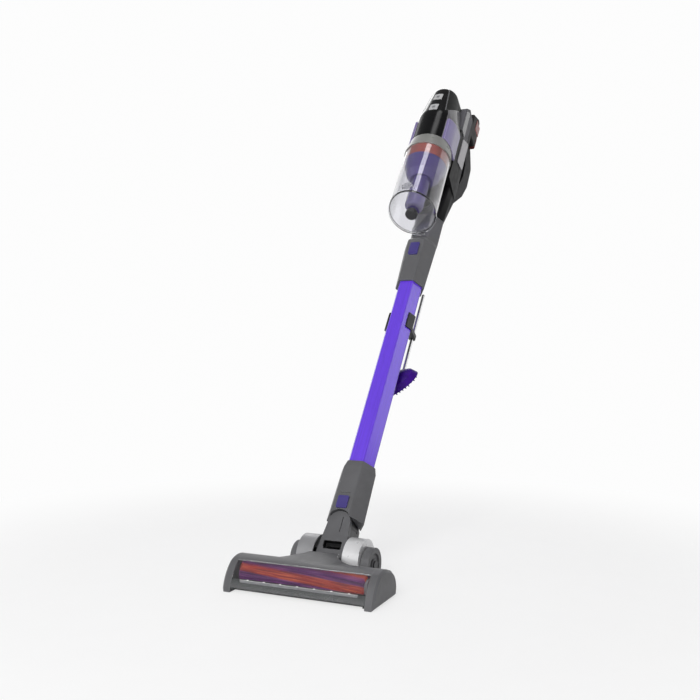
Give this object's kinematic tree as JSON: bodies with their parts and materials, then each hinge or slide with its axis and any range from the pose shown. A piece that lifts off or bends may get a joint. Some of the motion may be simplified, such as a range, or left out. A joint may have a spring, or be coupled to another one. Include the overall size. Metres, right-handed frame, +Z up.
{
  "type": "cordless stick vacuum",
  "caption": "Cordless stick vacuum: swivelling floor head with a helical brush roll behind a window, six-sided wand with a pet tool, and a handheld unit with clear bin, handle loop and battery.",
  "frame": {"origin": "centre of the glide strip under the floor head, on the floor", "axes": "+X to the vacuum's right across the floor head, +Y to the rear, +Z up; the stick leans back in the Y-Z plane"},
  "size_m": [0.26, 0.9014, 0.9628],
  "materials": {
    "dark_plastic": "moulded dark grey plastic, fine grain",
    "grey_plastic": "moulded mid grey plastic, satin",
    "black_plastic": "moulded black plastic, rubberised",
    "clear_plastic": "clear moulded polycarbonate",
    "frosted_plastic": "pale translucent plastic",
    "silver_plastic": "silver painted plastic, gloss",
    "steel": "turned steel",
    "chrome": "bright plated",
    "light_strip": "white light strip",
    "felt": "woven glide strip",
    "belt_rubber": "moulded rubber",
    "tyre_rubber": "soft rubber tread",
    "red_nylon": "orange-red nylon bristle",
    "purple_nylon": "purple nylon bristle",
    "violet_plastic": "moulded violet plastic",
    "purple_metal": "purple coated aluminium, satin",
    "purple_rubber": "moulded purple rubber",
    "gloss_black": "polished black plastic",
    "pale_key": "light grey moulded key",
    "warm_grey": "warm light grey plastic",
    "red_plastic": "orange-red plastic",
    "dark_purple": "dark purple plastic",
    "lavender": "lavender plastic, satin gloss",
    "light_panel": "light grey plastic, satin gloss",
    "latch_red": "red plastic"
  },
  "bodies": {
    "handheld": {"nozzle_neck": "grey_plastic", "body_shell_left": "black_plastic", "body_shell_right": "black_plastic", "nose_cover": "black_plastic", "nose_flank": "grey_plastic", "nose_trim": "chrome", "nose_visor": "gloss_black", "bin_collar": "warm_grey", "filter_ring": "red_plastic", "dust_bin": "clear_plastic", "cyclone_cone": "dark_purple", "door_hinge_pin": "steel", "side_trim_left": "lavender", "side_trim_right": "lavender", "side_panel_left": "grey_plastic", "side_panel_right": "grey_plastic", "rear_panel_left": "light_panel", "rear_panel_right": "light_panel", "suction_motor": "steel"},
    "wand_button": {"wand_release_button": "violet_plastic"},
    "power_key": {"power_button": "pale_key"},
    "boost_key": {"boost_button": "pale_key"},
    "door": {"bin_door": "clear_plastic", "door_plug": "black_plastic"},
    "latch": {"door_latch": "frosted_plastic"},
    "battery": {"battery_pack": "black_plastic"},
    "battery_catch": {"battery_latch": "latch_red"},
    "fan": {"fan_impeller": "dark_plastic"},
    "wand": {"wand_tube": "purple_metal", "accessory_clip": "black_plastic"},
    "pet_tool": {"pet_brush_handle": "chrome", "pet_brush_pad": "purple_rubber"},
    "connector": {"connector_shell": "grey_plastic", "swivel_knuckle": "black_plastic"},
    "head_button": {"head_release_button": "violet_plastic"},
    "elbow": {"elbow_fork": "grey_plastic", "elbow_back": "black_plastic"},
    "head": {"head_chassis": "dark_plastic", "head_cover": "grey_plastic", "brush_window": "clear_plastic", "end_cap_left": "grey_plastic", "end_cap_right": "grey_plastic", "pivot_cover_left": "silver_plastic", "pivot_cover_right": "silver_plastic", "pivot_axle": "steel", "led_strip": "light_strip", "glide_strip": "felt", "head_screws": "steel", "brush_motor": "steel", "drive_belt": "belt_rubber", "brush_bearings": "steel"},
    "pinion": {"motor_pinion": "steel"},
    "brush": {"brush_core": "dark_plastic", "brush_bristles_red": "red_nylon", "brush_bristles_purple": "purple_nylon", "brush_pulley": "dark_plastic"},
    "left_wheel": {"wheel_left": "dark_plastic", "tyre_left": "tyre_rubber"},
    "right_wheel": {"wheel_right": "dark_plastic", "tyre_right": "tyre_rubber"}
  },
  "joints": [
    {"name": "wand_pull", "type": "slide", "parent": "handheld", "child": "wand", "axis": [0, -0.6018, -0.7986], "range_m": [0, 0.05]},
    {"name": "head_pull", "type": "slide", "parent": "wand", "child": "connector", "axis": [0, -0.6018, -0.7986], "range_m": [0, 0.05]},
    {"name": "neck_swivel", "type": "hinge", "parent": "connector", "child": "elbow", "pos_m": [0, 0.1085, 0.07713], "axis": [0, 0.7986, -0.6018], "range_deg": [-35, 35]},
    {"name": "neck_pitch", "type": "hinge", "parent": "elbow", "child": "head", "pos_m": [0, 0.076, 0.034], "axis": [1, 0, 0], "range_deg": [-37, 48]},
    {"name": "wheel_left_spin", "type": "hinge", "parent": "head", "child": "left_wheel", "pos_m": [0, 0.076, 0.0285], "axis": [1, 0, 0], "continuous": true},
    {"name": "wheel_right_spin", "type": "hinge", "parent": "head", "child": "right_wheel", "pos_m": [0, 0.076, 0.0285], "axis": [1, 0, 0], "continuous": true},
    {"name": "brush_spin", "type": "hinge", "parent": "head", "child": "brush", "pos_m": [0, -0.031, 0.0232], "axis": [1, 0, 0], "continuous": true},
    {"name": "pinion_spin", "type": "hinge", "parent": "head", "child": "pinion", "pos_m": [0, 0.006, 0.0232], "axis": [1, 0, 0], "continuous": true},
    {"name": "head_release", "type": "slide", "parent": "connector", "child": "head_button", "axis": [0, 0.7986, -0.6018], "range_m": [0, 0.0025], "stiffness_N_per_m": 400},
    {"name": "wand_release", "type": "slide", "parent": "handheld", "child": "wand_button", "axis": [0, 0.7986, -0.6018], "range_m": [0, 0.0025], "stiffness_N_per_m": 400},
    {"name": "power_press", "type": "slide", "parent": "handheld", "child": "power_key", "axis": [0, 0.7986, -0.6018], "range_m": [0, 0.0012], "stiffness_N_per_m": 600},
    {"name": "boost_press", "type": "slide", "parent": "handheld", "child": "boost_key", "axis": [0, 0.7986, -0.6018], "range_m": [0, 0.0012], "stiffness_N_per_m": 600},
    {"name": "battery_slide", "type": "slide", "parent": "handheld", "child": "battery", "axis": [0, 0.6018, 0.7986], "range_m": [0, 0.031]},
    {"name": "battery_unlatch", "type": "slide", "parent": "battery", "child": "battery_catch", "axis": [0, -0.7986, 0.6018], "range_m": [0, 0.002], "stiffness_N_per_m": 500},
    {"name": "bin_open", "type": "hinge", "parent": "handheld", "child": "door", "pos_m": [0, 0.47985, 0.61728], "axis": [1, 0, 0], "range_deg": [0, 70]},
    {"name": "bin_unlatch", "type": "hinge", "parent": "handheld", "child": "latch", "pos_m": [0, 0.41365, 0.70739], "axis": [1, 0, 0], "range_deg": [0, 6], "stiffness_Nm_per_rad": 0.3},
    {"name": "fan_spin", "type": "hinge", "parent": "handheld", "child": "fan", "pos_m": [0, 0.55937, 0.8117], "axis": [0, 0.6018, 0.7986], "continuous": true},
    {"name": "pet_tool_pull", "type": "slide", "parent": "wand", "child": "pet_tool", "axis": [0, -0.6018, -0.7986], "range_m": [0, 0.05]}
  ],
  "couplings": [
    {"joint": "pinion_spin", "follows": "brush_spin", "ratio": 2}
  ]
}
